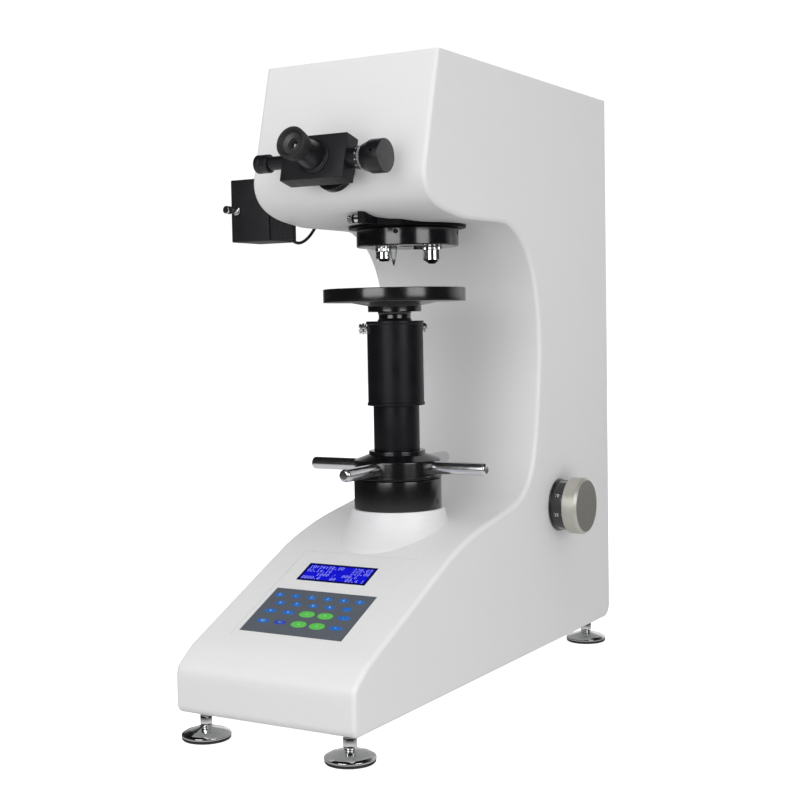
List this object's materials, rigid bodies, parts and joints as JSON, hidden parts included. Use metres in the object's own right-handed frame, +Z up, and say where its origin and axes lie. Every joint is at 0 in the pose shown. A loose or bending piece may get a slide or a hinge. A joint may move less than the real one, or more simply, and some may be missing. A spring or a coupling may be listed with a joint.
{
  "type": "hardness tester",
  "caption": "Bench turret hardness tester with a C-frame body, elevating test table, objective turret, micrometer eyepiece, side lamp and load selector.",
  "frame": {"origin": "middle of the bounding box, on the bench plane under the feet", "axes": "+X to the operator's right, +Y away from the operator, +Z up; the test axis is vertical, through x 0.023, y -0.0437"},
  "size_m": [0.302, 0.5766, 0.63],
  "materials": {
    "body_paint": "off-white satin enamel over a smooth iron casting",
    "cover_paint": "off-white satin enamel",
    "machine_screw_steel": "plain zinc-plated",
    "panel_overlay": "fine-textured film",
    "display_glass": "clear window over a blue display",
    "display_module": "display frame and board",
    "keypad_film": "slate-grey membrane with blue and green keys",
    "circuit_board": "green laminate",
    "black_plastic": "satin moulded black",
    "black_turned_metal": "gloss black over turned steel",
    "chrome": "polished plate",
    "tool_steel": "ground",
    "bracket_steel": "milled",
    "bronze": "machined",
    "weight_iron": "blackened",
    "black_satin_metal": "fine matte black",
    "light_alloy": "black anodised inside",
    "champagne_knob": "satin champagne anodised",
    "optical_glass": "polished",
    "lead_rubber": "smooth black sheath"
  },
  "bodies": {
    "root": {"body_casting": "body_paint", "base_plate": "cover_paint", "top_cover": "cover_paint", "rear_cover": "cover_paint", "cover_screws": "machine_screw_steel", "panel_overlay": "panel_overlay", "lcd_window": "display_glass", "lcd_module": "display_module", "keypad_film": "keypad_film", "control_board": "circuit_board", "power_supply": "circuit_board", "power_entry": "black_plastic", "column_collar": "black_turned_metal", "turret_mount": "black_turned_metal", "lever_bracket": "bracket_steel", "lifter_guide_rods": "tool_steel", "loading_motor": "bracket_steel", "optical_block": "light_alloy", "beam_splitter": "optical_glass", "microscope_tube": "black_turned_metal", "lamp_bracket": "black_satin_metal", "lamp_housing": "black_satin_metal", "lamp_bulb": "optical_glass", "lamp_cable": "lead_rubber"},
    "handwheel": {"elevating_nut": "bronze", "handwheel_hub": "black_turned_metal", "handwheel_spokes": "chrome", "lower_sleeve": "black_turned_metal"},
    "bearing_cage": {"thrust_ball_cage": "tool_steel"},
    "table": {"elevating_screw": "tool_steel", "upper_sleeve": "black_turned_metal", "sleeve_screws": "chrome", "test_table": "black_turned_metal"},
    "turret": {"turret_disc": "black_turned_metal", "objective_low_power": "chrome", "objective_high_power": "chrome"},
    "indenter": {"indenter": "tool_steel"},
    "yoke": {"load_yoke": "tool_steel"},
    "lever": {"load_lever": "tool_steel"},
    "hanger": {"weight_hanger": "tool_steel"},
    "lifter": {"weight_lifter": "bracket_steel", "load_weights": "weight_iron"},
    "selector": {"selector_shaft": "tool_steel", "selector_ring": "black_plastic", "selector_knob": "champagne_knob"},
    "cam": {"loading_cam": "tool_steel"},
    "micrometer": {"micrometer_box": "black_satin_metal", "scale_sleeve": "black_satin_metal", "eyepiece_barrel": "black_plastic"},
    "drum": {"micrometer_drum": "black_satin_metal"},
    "carriage": {"reticle_carriage": "light_alloy"},
    "zero_adjuster": {"zero_knob": "black_satin_metal"},
    "eyepiece": {"eyepiece_cup": "black_plastic", "eye_lens": "optical_glass"},
    "thumbscrew": {"lamp_thumbscrew": "chrome"},
    "rocker": {"switch_rocker": "black_plastic"},
    "front_left_foot": {"foot_front_left": "chrome"},
    "front_right_foot": {"foot_front_right": "chrome"},
    "rear_left_foot": {"foot_rear_left": "chrome"},
    "rear_right_foot": {"foot_rear_right": "chrome"}
  },
  "joints": [
    {"name": "handwheel_spin", "type": "hinge", "parent": "root", "child": "handwheel", "pos_m": [0.023, -0.0437, 0.232], "axis": [0, 0, 1], "range_deg": [-1440, 3168]},
    {"name": "bearing_cage_spin", "type": "hinge", "parent": "root", "child": "bearing_cage", "pos_m": [0.023, -0.0437, 0.202], "axis": [0, 0, 1], "range_deg": [-720, 1584]},
    {"name": "table_elevate", "type": "slide", "parent": "root", "child": "table", "axis": [0, 0, 1], "range_m": [-0.0441, 0.0201]},
    {"name": "turret_spin", "type": "hinge", "parent": "root", "child": "turret", "pos_m": [0.023, -0.0152, 0.463], "axis": [0, 0, 1], "range_deg": [-90, 90]},
    {"name": "cam_spin", "type": "hinge", "parent": "root", "child": "cam", "pos_m": [0.023, 0.1163, 0.529], "axis": [-1, 0, 0], "range_deg": [-0.01, 120.05]},
    {"name": "lever_tilt", "type": "hinge", "parent": "root", "child": "lever", "pos_m": [0.023, -0.0937, 0.56], "axis": [1, 0, 0], "range_deg": [-2.29, 0]},
    {"name": "yoke_slide", "type": "slide", "parent": "root", "child": "yoke", "axis": [0, 0, -1], "range_m": [0, 0.002]},
    {"name": "indenter_slide", "type": "slide", "parent": "turret", "child": "indenter", "axis": [0, 0, -1], "range_m": [0, 0.002]},
    {"name": "hanger_pivot", "type": "hinge", "parent": "lever", "child": "hanger", "pos_m": [0.023, 0.2163, 0.56], "axis": [1, 0, 0], "range_deg": [0, 2.29]},
    {"name": "selector_spin", "type": "hinge", "parent": "root", "child": "selector", "pos_m": [0.123, 0.1423, 0.1747], "axis": [-1, 0, 0], "range_deg": [-0.02, 270.05]},
    {"name": "lifter_slide", "type": "slide", "parent": "root", "child": "lifter", "axis": [0, 0, -1], "range_m": [0, 0.0377]},
    {"name": "eyepiece_turn", "type": "hinge", "parent": "root", "child": "micrometer", "pos_m": [0.023, -0.14572, 0.52013], "axis": [0, -0.9668, 0.2554], "range_deg": [0, 90]},
    {"name": "micrometer_spin", "type": "hinge", "parent": "micrometer", "child": "drum", "pos_m": [0.023, -0.17473, 0.5278], "axis": [1, 0, 0], "range_deg": [-720, 720]},
    {"name": "reticle_slide", "type": "slide", "parent": "micrometer", "child": "carriage", "axis": [1, 0, 0], "range_m": [-0.0021, 0.0021]},
    {"name": "zero_spin", "type": "hinge", "parent": "micrometer", "child": "zero_adjuster", "pos_m": [0.023, -0.17434, 0.52925], "axis": [1, 0, 0], "range_deg": [-180, 180]},
    {"name": "diopter_turn", "type": "hinge", "parent": "micrometer", "child": "eyepiece", "pos_m": [0.023, -0.14572, 0.52013], "axis": [0, -0.9668, 0.2554], "range_deg": [-90, 90]},
    {"name": "thumbscrew_turn", "type": "hinge", "parent": "root", "child": "thumbscrew", "pos_m": [-0.1428, -0.0807, 0.496], "axis": [0, 1, 0], "range_deg": [-180, 180]},
    {"name": "rocker_tilt", "type": "hinge", "parent": "root", "child": "rocker", "pos_m": [-0.025, 0.2813, 0.0975], "axis": [1, 0, 0], "range_deg": [0, 18]},
    {"name": "front_left_foot_adjust", "type": "slide", "parent": "root", "child": "front_left_foot", "axis": [0, 0, 1], "range_m": [-0.006, 0.002]},
    {"name": "front_right_foot_adjust", "type": "slide", "parent": "root", "child": "front_right_foot", "axis": [0, 0, 1], "range_m": [-0.006, 0.002]},
    {"name": "rear_left_foot_adjust", "type": "slide", "parent": "root", "child": "rear_left_foot", "axis": [0, 0, 1], "range_m": [-0.006, 0.002]},
    {"name": "rear_right_foot_adjust", "type": "slide", "parent": "root", "child": "rear_right_foot", "axis": [0, 0, 1], "range_m": [-0.006, 0.002]}
  ],
  "couplings": [
    {"joint": "bearing_cage_spin", "follows": "handwheel_spin", "ratio": 0.5},
    {"joint": "table_elevate", "follows": "handwheel_spin", "m_per_rad": -0.00079577},
    {"joint": "cam_spin", "follows": "lever_tilt", "ratio": -52.361},
    {"joint": "yoke_slide", "follows": "lever_tilt", "m_per_rad": -0.05},
    {"joint": "indenter_slide", "follows": "lever_tilt", "m_per_rad": -0.05},
    {"joint": "hanger_pivot", "follows": "lever_tilt", "ratio": -1},
    {"joint": "selector_spin", "follows": "lifter_slide", "rad_per_m": 125},
    {"joint": "reticle_slide", "follows": "micrometer_spin", "m_per_rad": 0.00015915}
  ]
}
